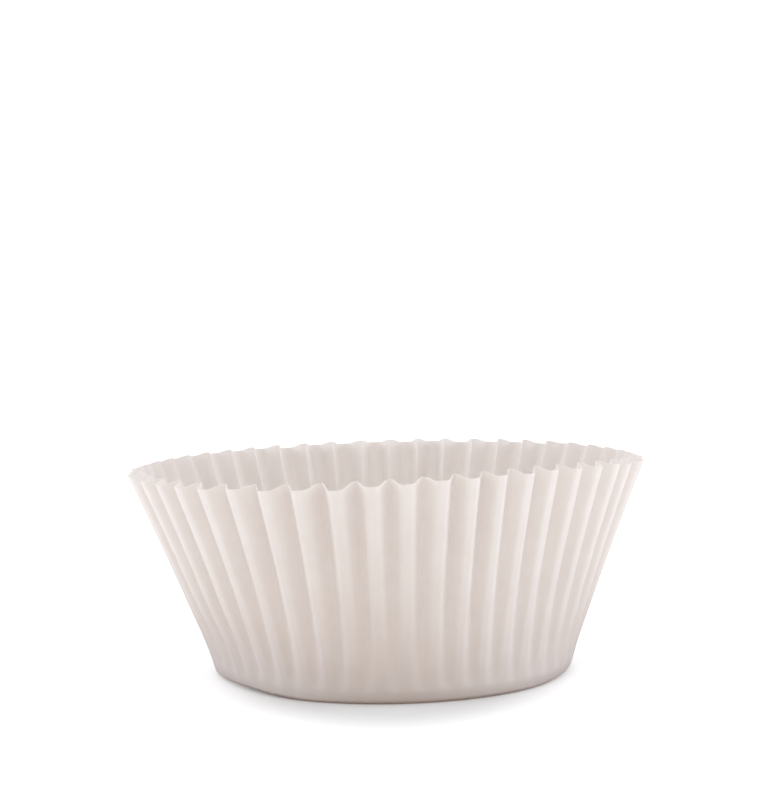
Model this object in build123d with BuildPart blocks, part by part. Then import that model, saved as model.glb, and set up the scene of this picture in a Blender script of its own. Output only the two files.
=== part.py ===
from build123d import *
from math import acos, asin, atan2, cos, degrees, hypot, pi, sin, sqrt, tan
import os

# A cupcake liner: one disc of greaseproof paper pressed into a round, pleated cup.
#
# The paper lies flat across the base, turns up over a small round corner and leans outwards to an open rim.
# The edge of the disc is longer than the rim it is pressed into, so the wall is gathered into even pleats.
# They start just above the corner and are deepest at the rim, with ridges a little broader than valleys.
# Every point of the rim is the same length of paper away from the corner, so the valleys, which lean less
# than the ridges, end a little higher.
#
# +Z is up, and the origin is on the underside of the base, at its centre.

# Driving dimensions, in millimetres
base_diameter = 50.8  # where the lines of base and wall would meet
rim_diameter = 73.5  # across the ridges at the rim
wall_length = 31.75  # paper from the corner to the rim
paper_thickness = 0.1
corner_radius = 1.0  # outside of the turn from base to wall
pleat_start = 1.5  # height above which the wall is pleated
pleat_count = 48
pleat_depth = 2.2  # ridge to valley at the rim
ridge_bend_radius = 0.9  # outside of a ridge at the rim
valley_bend_radius = 0.6  # outside of a valley at the rim

# The wall, which is made higher than the rim and then trimmed to it
base_radius = base_diameter / 2
ridge_rim_radius = rim_diameter / 2
valley_rim_radius = ridge_rim_radius - pleat_depth
ridge_rim_height = sqrt(wall_length**2 - (ridge_rim_radius - base_radius) ** 2)
valley_rim_height = sqrt(wall_length**2 - (valley_rim_radius - base_radius) ** 2)
wall_lean = asin((ridge_rim_radius - base_radius) / wall_length)
start_radius = base_radius + pleat_start * tan(wall_lean)
untrimmed_height = wall_length + pleat_depth
ridge_share = (untrimmed_height - pleat_start) / (ridge_rim_height - pleat_start)
valley_share = (untrimmed_height - pleat_start) / (valley_rim_height - pleat_start)

# One pleat at the untrimmed height: the centres and radii of its bends, with the ridge on the X axis
half_pleat = pi / pleat_count
ridge_bend = ridge_share * ridge_bend_radius
valley_bend = valley_share * valley_bend_radius
ridge_centre = start_radius + ridge_share * (ridge_rim_radius - start_radius) - ridge_bend
valley_centre = start_radius + valley_share * (valley_rim_radius - start_radius) + valley_bend
across = valley_centre * sin(half_pleat)
inward = ridge_centre - valley_centre * cos(half_pleat)
ridge_turn = atan2(across, -inward) - acos((ridge_bend + valley_bend) / hypot(across, inward))
valley_turn = ridge_turn - half_pleat


def ring(height, pleat_edges):
    """Filled section of the wall at one height, from the edges of one pleat."""
    edges = [place * edge for place in PolarLocations(0, pleat_count) for edge in pleat_edges]
    return Plane.XY.offset(height) * make_face(edges)


def pleated_and_plain(inset):
    """Sections at the untrimmed height and at the pleats' start, in from the paper's outside by the inset.

    The plain circle is divided where the pleat's bends end, so that each fold runs straight up the wall.
    """
    ridge = ridge_bend - inset
    valley = valley_bend + inset
    valley_middle = (valley_centre * cos(half_pleat), valley_centre * sin(half_pleat))
    ridge_arc = CenterArc((ridge_centre, 0), ridge, -degrees(ridge_turn), 2 * degrees(ridge_turn))
    valley_from = 180 + degrees(half_pleat + valley_turn)
    valley_arc = CenterArc(valley_middle, valley, valley_from, -2 * degrees(valley_turn))
    rising = Line(ridge_arc @ 1, valley_arc @ 0)
    falling = mirror(rising, about=Plane.XZ.rotated((0, 0, degrees(half_pleat))))
    pleated = ring(untrimmed_height, [ridge_arc, rising, valley_arc, falling])

    ridge_end = degrees(atan2((ridge_arc @ 1).Y, (ridge_arc @ 1).X))
    valley_end = degrees(atan2((valley_arc @ 0).Y, (valley_arc @ 0).X))
    pleat_turn = 360 / pleat_count
    turns = (-ridge_end, ridge_end, valley_end, pleat_turn - valley_end, pleat_turn - ridge_end)
    arcs = [CenterArc((0, 0), start_radius - inset, a, b - a) for a, b in zip(turns, turns[1:])]
    return pleated, ring(pleat_start, arcs)


def filled_cup(inset):
    """The cup as a solid, with its surface as far in from the paper's outside as the inset."""
    level_inset = inset / cos(wall_lean)
    pleated, plain = pleated_and_plain(level_inset)
    with BuildPart() as cup:
        with BuildSketch(Plane.XZ):
            with BuildLine():
                corner = (base_radius - inset * tan((pi / 2 - wall_lean) / 2), inset)
                shoulder = (start_radius - level_inset, pleat_start)
                FilletPolyline((0, inset), corner, shoulder, radius=corner_radius - inset)
                Polyline(shoulder, (0, pleat_start), (0, inset))
            make_face()
        revolve(axis=Axis.Z)
        loft(sections=[plain, pleated], ruled=True)
    return cup.part


outside = filled_cup(0)
inside = filled_cup(paper_thickness)

with BuildPart() as liner:
    add(outside)
    add(inside, mode=Mode.SUBTRACT)
    # Paper further than the wall's length from the corner is cut away, which leaves the rim
    with BuildSketch(Plane.XZ):
        with BuildLine():
            rim_sweep = CenterArc((base_radius, 0), wall_length, 0, 90)
            far_corner = (base_radius + wall_length, -wall_length)
            Polyline(rim_sweep @ 1, (0, wall_length), (0, -wall_length), far_corner, rim_sweep @ 0)
        make_face()
    revolve(axis=Axis.Z, mode=Mode.INTERSECT)

liner.part.label = "liner"
os.makedirs("parts", exist_ok=True)
export_step(liner.part, "parts/liner.step")
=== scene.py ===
import math
import random

import bmesh
import bpy
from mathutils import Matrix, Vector


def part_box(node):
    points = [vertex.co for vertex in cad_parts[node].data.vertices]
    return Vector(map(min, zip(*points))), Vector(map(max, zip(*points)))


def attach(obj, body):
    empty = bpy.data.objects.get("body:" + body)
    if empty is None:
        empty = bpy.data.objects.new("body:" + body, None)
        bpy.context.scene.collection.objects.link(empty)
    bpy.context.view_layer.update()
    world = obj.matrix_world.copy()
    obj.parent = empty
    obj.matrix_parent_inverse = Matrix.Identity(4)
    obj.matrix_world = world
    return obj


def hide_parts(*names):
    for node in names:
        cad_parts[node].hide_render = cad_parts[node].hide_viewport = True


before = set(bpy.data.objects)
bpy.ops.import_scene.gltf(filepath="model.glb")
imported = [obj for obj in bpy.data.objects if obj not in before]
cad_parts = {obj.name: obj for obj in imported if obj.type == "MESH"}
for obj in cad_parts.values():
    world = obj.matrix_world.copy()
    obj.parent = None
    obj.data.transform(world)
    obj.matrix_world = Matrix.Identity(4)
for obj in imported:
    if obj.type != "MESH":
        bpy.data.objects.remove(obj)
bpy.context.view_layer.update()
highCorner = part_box("liner")[1]
scene = bpy.context.scene
print("frame loaded")

same = 1e-6  # points nearer than this are one point
near = 1e-5


# everything is picked by its place, then changed by an operator
def pick(test, mode="VERT"):
    bpy.ops.mesh.select_mode(type=mode)
    bpy.ops.mesh.select_all(action="DESELECT")
    mesh = bmesh.from_edit_mesh(bpy.context.object.data)
    for vert in mesh.verts:
        vert.select = test(vert.co)
    mesh.select_flush_mode()
    mesh.select_flush(True)
    bmesh.update_edit_mesh(bpy.context.object.data)


def grow(across, up=0.0):
    bpy.ops.transform.resize(value=(across, across, 1), center_override=(0, 0, 0))
    if up:
        bpy.ops.transform.translate(value=(0, 0, up))


# these two also carry what is within reach, less and less with distance
def nudge(move, reach):
    bpy.ops.transform.translate(
        value=move, use_proportional_edit=True,
        proportional_edit_falloff="SMOOTH", proportional_size=reach)


def press(across, reach):
    bpy.ops.transform.resize(
        value=(across, across, 1), center_override=(0, 0, 0), use_proportional_edit=True,
        proportional_edit_falloff="SMOOTH", proportional_size=reach)


def applyAll(obj):
    for modifier in list(obj.modifiers):
        bpy.ops.object.modifier_apply(modifier=modifier.name)


# the liner is one sheet of paper, pressed into pleats
liner = {
    "pleats": 48,
    "points": 16,  # round each pleat
    "firstRidge": math.radians(-93.75),
    # from the middle of a ridge to the middle of a valley
    "profile": (0, 0, 0.02, 0.10, 0.28, 0.50, 0.72, 0.90, 1),
    "pleatDepth": 0.0021,  # at the rim
    "deepening": 0.76,  # below 1, the folds deepen quickly at first, then slowly
    "valleyRise": 0.0006,  # how much higher the rim is in a valley
    "heights": (0, 0.06, 0.18, 0.38, 0.6, 0.8, 1),  # where the wall is folded, foot to rim
    "rowsBetween": 3,
    "flare": 1.1,  # above 1, the wall is hollow and opens out near the rim
    "footRadius": 0.02592,
    "footHeight": 0.0016,
    "rimRadius": highCorner.x,
    "rimHeight": 0.0296,
    "cornerRadius": 0.0254,
    "cornerBevel": 0.0006,
    "cornerSteps": 5,
    "floorRings": (0.0235, 0.020, 0.014, 0.008, 0.003),
    # where the base's edge is out of round and off the floor:
    # direction in degrees, how far out, rise and reach
    "curls": ((-148.5, -0.0007, 0.00035, 0.015), (-16, -0.0002, 0.0002, 0.011)),
    "thickness": 0.00007,
    "creaseAngle": math.radians(58),  # the valleys stay creased, the rest is smooth
    # how uneven the ridges are at the rim, and how much of the paper moves along
    "seed": 7,
    "ridgeWidth": 1.2,  # in degrees
    "shift": math.radians(0.25),
    "shiftReach": 0.0044,
    "push": 0.00012,
    "pushReach": 0.0022,
    "lift": 0.00008,
    "liftReach": 0.003,
    # how the whole rim is out of round and out of level:
    # direction in degrees, how far out as a share of the radius, or rise, then reach
    "leanWidth": 2,  # in degrees
    "pushes": ((-54, -0.101, 0.046), (-165.2, 0.014, 0.070), (0, 0.016, 0.030)),
    "lifts": ((-54.5, 0.00097, 0.044), (169, -0.00062, 0.090), (0, -0.0003, 0.030)),
}


def towards(degrees, radius=1.0):
    angle = math.radians(degrees)
    return Vector((math.cos(angle) * radius, math.sin(angle) * radius, 0))


def pickTowards(degrees, width):
    narrowest = math.cos(math.radians(width / 2))
    pick(lambda co: co.xy.normalized().dot(towards(degrees).xy) > narrowest)


def foldRing(share, radius):
    depth = liner["pleatDepth"] * share ** liner["deepening"]
    points = liner["points"]

    # how many points from the middle of its ridge
    def stepOf(co):
        turn = (math.atan2(co.y, co.x) - liner["firstRidge"]) / (2 * math.pi) * liner["pleats"]
        return points / 2 - abs(round(turn * points) % points - points / 2)

    for step, amount in enumerate(liner["profile"]):
        pick(lambda co: stepOf(co) == step)
        eased = amount * amount * (3 - 2 * amount)
        grow(1 - amount * depth / radius, eased * liner["valleyRise"] * share)


def unevenRing(share, radius):
    # every ridge sits a little off its even place, the same way all down the wall
    chance = random.Random(liner["seed"])
    size = radius / liner["rimRadius"]
    for pleat in range(liner["pleats"]):
        degrees = math.degrees(liner["firstRidge"]) + 360 * pleat / liner["pleats"]
        pickTowards(degrees, liner["ridgeWidth"])
        sideways = towards(degrees + 90) * chance.gauss(0, liner["shift"])
        nudge(sideways * share * radius, liner["shiftReach"] * size)
        outward = towards(degrees) * chance.gauss(0, liner["push"])
        nudge(outward * share, liner["pushReach"] * size)
        nudge((0, 0, chance.gauss(0, liner["lift"]) * share), liner["liftReach"] * size)


def leanRing(share, radius):
    # the cup isn't quite round: pressed in on one side, spread and lower on the other
    for degrees, outward, reach in liner["pushes"]:
        pickTowards(degrees, liner["leanWidth"])
        across = 1 + outward * share * liner["rimRadius"] / radius
        press(across, reach * radius / liner["rimRadius"])
    for degrees, rise, reach in liner["lifts"]:
        pickTowards(degrees, liner["leanWidth"])
        nudge((0, 0, rise * share), reach * radius / liner["rimRadius"])


def makeRing(share):
    widening = liner["rimRadius"] - liner["footRadius"]
    radius = liner["footRadius"] + widening * share ** liner["flare"]
    height = liner["footHeight"] + (liner["rimHeight"] - liner["footHeight"]) * share
    bpy.ops.object.select_all(action="DESELECT")
    bpy.ops.mesh.primitive_circle_add(
        vertices=liner["pleats"] * liner["points"], radius=radius, location=(0, 0, height),
        rotation=(0, 0, liner["firstRidge"]))
    bpy.ops.object.transform_apply(location=True, rotation=True, scale=True)
    if share:
        bpy.ops.object.mode_set(mode="EDIT")
        foldRing(share, radius)
        unevenRing(share, radius)
        leanRing(share, radius)
        bpy.ops.object.mode_set(mode="OBJECT")
    return bpy.context.object


# one bridge over all the rings makes the whole wall
def joinRings(rings):
    bpy.ops.object.select_all(action="DESELECT")
    for ring in rings:
        ring.select_set(True)
    bpy.ops.object.join()
    wall = bpy.context.object
    wall.name = wall.data.name = "paperLiner"
    bpy.ops.object.mode_set(mode="EDIT")
    pick(lambda co: True, "EDGE")
    bpy.ops.mesh.bridge_edge_loops(
        number_cuts=liner["rowsBetween"], interpolation="LINEAR", smoothness=0)
    return wall


def ringIn(radius, fromRadius, drop=0.0):
    bpy.ops.mesh.extrude_edges_move(TRANSFORM_OT_translate={"value": (0, 0, -drop)})
    grow(radius / fromRadius)


def makeBase():
    corner, inside = liner["cornerRadius"], liner["floorRings"]
    pick(lambda co: abs(co.z - liner["footHeight"]) < near, "EDGE")
    ringIn(corner, liner["footRadius"], liner["footHeight"])
    ringIn(inside[0], corner)
    pick(lambda co: co.z < same and abs(math.hypot(co.x, co.y) - corner) < near, "EDGE")
    bpy.ops.mesh.bevel(
        offset=liner["cornerBevel"], segments=liner["cornerSteps"], affect="EDGES")
    pick(lambda co: co.z < same and math.hypot(co.x, co.y) < inside[0] + near, "EDGE")
    for radius, fromRadius in zip(inside[1:], inside):
        ringIn(radius, fromRadius)
    bpy.ops.mesh.extrude_edges_move(TRANSFORM_OT_translate={"value": (0, 0, 0)})
    bpy.ops.mesh.merge(type="CENTER")
    for degrees, outward, rise, reach in liner["curls"]:
        edge = towards(degrees, corner)
        pick(lambda co: (co - edge).length < liner["cornerBevel"])
        nudge(towards(degrees, outward) + Vector((0, 0, rise)), reach)


rings = [makeRing(share) for share in liner["heights"]]
print("rings folded")
paperLiner = joinRings(rings)
makeBase()
bpy.ops.mesh.select_all(action="SELECT")
bpy.ops.mesh.remove_doubles(threshold=same)
bpy.ops.mesh.normals_make_consistent(inside=False)
bpy.ops.object.mode_set(mode="OBJECT")
print("pleated wall and base made,", len(paperLiner.data.polygons), "faces")

shell = paperLiner.modifiers.new("thickness", "SOLIDIFY")
shell.thickness = liner["thickness"]
shell.offset = -1  # inwards
shell.use_even_offset = True
applyAll(paperLiner)
bpy.ops.object.shade_smooth_by_angle(angle=liner["creaseAngle"])
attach(paperLiner, "root")
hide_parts("liner")
print("paper has its thickness,", len(paperLiner.data.polygons), "faces")


# a socket that can be added, subtracted and multiplied
class Wire:
    def __init__(self, tree, socket=None):
        self.tree = tree
        self.socket = socket

    def node(self, kind, settings, sockets, output=0):
        made = self.tree.nodes.new("ShaderNode" + kind)
        for name, value in settings.items():
            if name == "stops":
                self.setStops(made.color_ramp.elements, value)
            else:
                setattr(made, name, value)
        for name, value in sockets.items():
            if isinstance(value, Wire):
                self.tree.links.new(value.socket, made.inputs[name])
            else:
                made.inputs[name].default_value = value
        return Wire(self.tree, made.outputs[output])

    def setStops(self, stops, wanted):
        while len(stops) < len(wanted):
            stops.new(1)
        for stop, (position, colour) in zip(stops, wanted):
            stop.position = position
            stop.color = colour

    def finish(self, shader, kind="OutputMaterial"):
        made = self.tree.nodes.new("ShaderNode" + kind)
        self.tree.links.new(shader.socket, made.inputs["Surface"])

    def maths(self, operation, first, second):
        return self.node("Math", {"operation": operation}, {0: first, 1: second})

    def __add__(self, other):
        return self.maths("ADD", self, other)

    def __radd__(self, other):
        return self.maths("ADD", other, self)

    def __sub__(self, other):
        return self.maths("SUBTRACT", self, other)

    def __rsub__(self, other):
        return self.maths("SUBTRACT", other, self)

    def __mul__(self, other):
        return self.maths("MULTIPLY", self, other)

    def __rmul__(self, other):
        return self.maths("MULTIPLY", other, self)


def newMaterial(name):
    material = bpy.data.materials.new(name)
    material.use_nodes = True
    material.node_tree.nodes.clear()
    return material, Wire(material.node_tree)


paper = {
    "pale": (0.925, 0.885, 0.86, 1),
    "deep": (0.86, 0.805, 0.77, 1),
    "glow": (0.90, 0.81, 0.75, 1),  # of light that comes through the paper
    "seeThrough": 0.18,
    "patches": {"Scale": 190, "Detail": 2, "Roughness": 0.5},
    "clouds": {"Scale": 650, "Detail": 3, "Roughness": 0.55},
    "fibres": {"Scale": 3200, "Detail": 5, "Roughness": 0.7, "Distortion": 1.2},
    "shares": (0.45, 0.35, 0.2),  # of patches, clouds and fibres in the colour
    "contrast": 1.8,
    "cloudRelief": 0.5,
    "fibreRelief": 0.5,
    "relief": 0.00003,
    "roughness": 0.52,
    "fibreRoughness": 0.2,
    "ior": 1.4,
}


def greaseproofPaper():
    material, wire = newMaterial("greaseproofPaper")
    place = wire.node("TexCoord", {}, {}, "Object")
    patches, clouds, fibres = [
        wire.node("TexNoise", {}, {"Vector": place, **paper[name]}, "Fac")
        for name in ("patches", "clouds", "fibres")]
    patchShare, cloudShare, fibreShare = paper["shares"]
    mixed = patches * patchShare + clouds * cloudShare + fibres * fibreShare
    tone = (mixed - 0.5) * paper["contrast"] + 0.5
    # on a colour mix, sockets 6 and 7 are the two colours and output 2 is the result
    colour = wire.node(
        "Mix", {"data_type": "RGBA"}, {0: tone, 6: paper["deep"], 7: paper["pale"]}, 2)
    height = clouds * paper["cloudRelief"] + fibres * paper["fibreRelief"]
    bump = wire.node("Bump", {}, {"Strength": 1, "Distance": paper["relief"], "Height": height})
    sheet = wire.node("BsdfPrincipled", {}, {
        "Base Color": colour,
        "Roughness": paper["roughness"] + paper["fibreRoughness"] * fibres,
        "Normal": bump,
        "IOR": paper["ior"],
    })
    glow = wire.node("BsdfTranslucent", {}, {"Color": paper["glow"], "Normal": bump})
    wire.finish(wire.node("MixShader", {}, {0: paper["seeThrough"], 1: sheet, 2: glow}))
    return material


paperLiner.data.materials.clear()
paperLiner.data.materials.append(greaseproofPaper())
print("paper material made")


stage = {
    "floorRadius": 0.6,
    "floorCorners": 96,
    "floorDrop": 0.00002,  # just clear of the base
    "floorSeen": (0.80, 0.80, 0.80, 1),
    "floorPaintedGlow": 0.33,  # painted light: a glow that only the camera sees whitens the floor beyond a painted shadow outline
    "paintedShadowEdge": (0.030, 0.047),
    "paintedShadowShape": (1.75, 1, 1),  # the painted shadow outline is shorter at the sides
    # painted bounce light: instead of reflecting, the floor glows up at the paper, by distance as
    # a share of the reach:
    # dim in a painted shade around the middle, brighter further out
    "sentReach": 0.15,
    "sent": (
        (0.15, (0.12, 0.095, 0.08, 1)),
        (0.21, (0.28, 0.18, 0.13, 1)),
        (0.30, (0.84, 0.75, 0.69, 1)),
        (0.45, (1.05, 1.05, 1.05, 1)),
        (0.9, (1.3, 1.3, 1.3, 1)),
    ),
    "sky": (1, 1, 1, 1),
}


def whiteFloor():
    material, wire = newMaterial("whiteFloor")
    place = wire.node("TexCoord", {}, {}, "Object")
    # painted bounce light and painted shade: rays other than camera rays see this ring-shaped
    # glow in place of the floor
    across = wire.node("VectorMath", {"operation": "LENGTH"}, {0: place}, "Value")
    sent = wire.node("ValToRGB", {"stops": stage["sent"]}, {0: across * (1 / stage["sentReach"])})
    paintedBounceLight = wire.node("Emission", {}, {"Color": sent})
    # painted shadow: the camera-only glow is left out inside this stretched ring, which draws the
    # shadow's outline
    stretched = wire.node(
        "VectorMath", {"operation": "MULTIPLY"}, {0: place, 1: stage["paintedShadowShape"]})
    outside = wire.node("VectorMath", {"operation": "LENGTH"}, {0: stretched}, "Value")
    edge = stage["paintedShadowEdge"]
    outsidePaintedShadow = wire.node(
        "MapRange", {"interpolation_type": "SMOOTHSTEP"},
        {"Value": outside, 1: edge[0], 2: edge[1]})
    matt = wire.node("BsdfDiffuse", {}, {"Color": stage["floorSeen"]})
    lift = wire.node("Emission", {}, {"Strength": outsidePaintedShadow * stage["floorPaintedGlow"]})
    white = wire.node("AddShader", {}, {0: matt, 1: lift})
    seen = wire.node("LightPath", {}, {}, "Is Camera Ray")
    wire.finish(wire.node("MixShader", {}, {0: seen, 1: paintedBounceLight, 2: white}))
    return material


bpy.ops.object.select_all(action="DESELECT")
bpy.ops.mesh.primitive_circle_add(
    vertices=stage["floorCorners"], radius=stage["floorRadius"], fill_type="NGON",
    location=(0, 0, -stage["floorDrop"]))
floor = bpy.context.object
floor.name = "floor"
floor.data.materials.append(whiteFloor())

world = bpy.data.worlds.new("studio")
scene.world = world
world.use_nodes = True
world.node_tree.nodes.clear()
sky = Wire(world.node_tree)
sky.finish(sky.node("Background", {}, {"Color": stage["sky"], "Strength": 1}), "OutputWorld")

lamps = {
    "places": {"leftBox": (-0.74, 0.02, 0.16), "rightBox": (0.74, 0.02, 0.16)},
    "size": 0.5,
    "power": 1.6,
    "colour": (0.92, 1.07, 1.27),
    "aim": (0, 0, 0.015),
}
for name, place in lamps["places"].items():
    bpy.ops.object.light_add(type="AREA", location=place)
    lamp = bpy.context.object
    lamp.name = name
    lamp.data.shape = "DISK"
    lamp.data.size = lamps["size"]
    lamp.data.energy = lamps["power"]
    lamp.data.color = lamps["colour"]
    aim = Vector(lamps["aim"]) - Vector(place)
    lamp.rotation_euler = aim.to_track_quat("-Z", "Y").to_euler()

camera = {
    "distance": 0.300,
    "elevation": math.radians(11.09),
    "aim": (-0.00138, 0, 0.03781),
    "roll": math.radians(-1.2),
    "lens": 91.96,
    "sensor": 36,
    "clipStart": 0.01,
}
back = camera["distance"] * math.cos(camera["elevation"])
up = camera["distance"] * math.sin(camera["elevation"])
bpy.ops.object.camera_add(location=(0, -back, up))
eye = bpy.context.object
eye.data.lens = camera["lens"]
eye.data.sensor_width = camera["sensor"]
eye.data.clip_start = camera["clipStart"]
eye.rotation_euler = (Vector(camera["aim"]) - eye.location).to_track_quat("-Z", "Y").to_euler()
eye.rotation_euler.rotate_axis("Z", camera["roll"])
scene.camera = eye
scene.view_settings.view_transform = "Standard"
print("light and camera set")
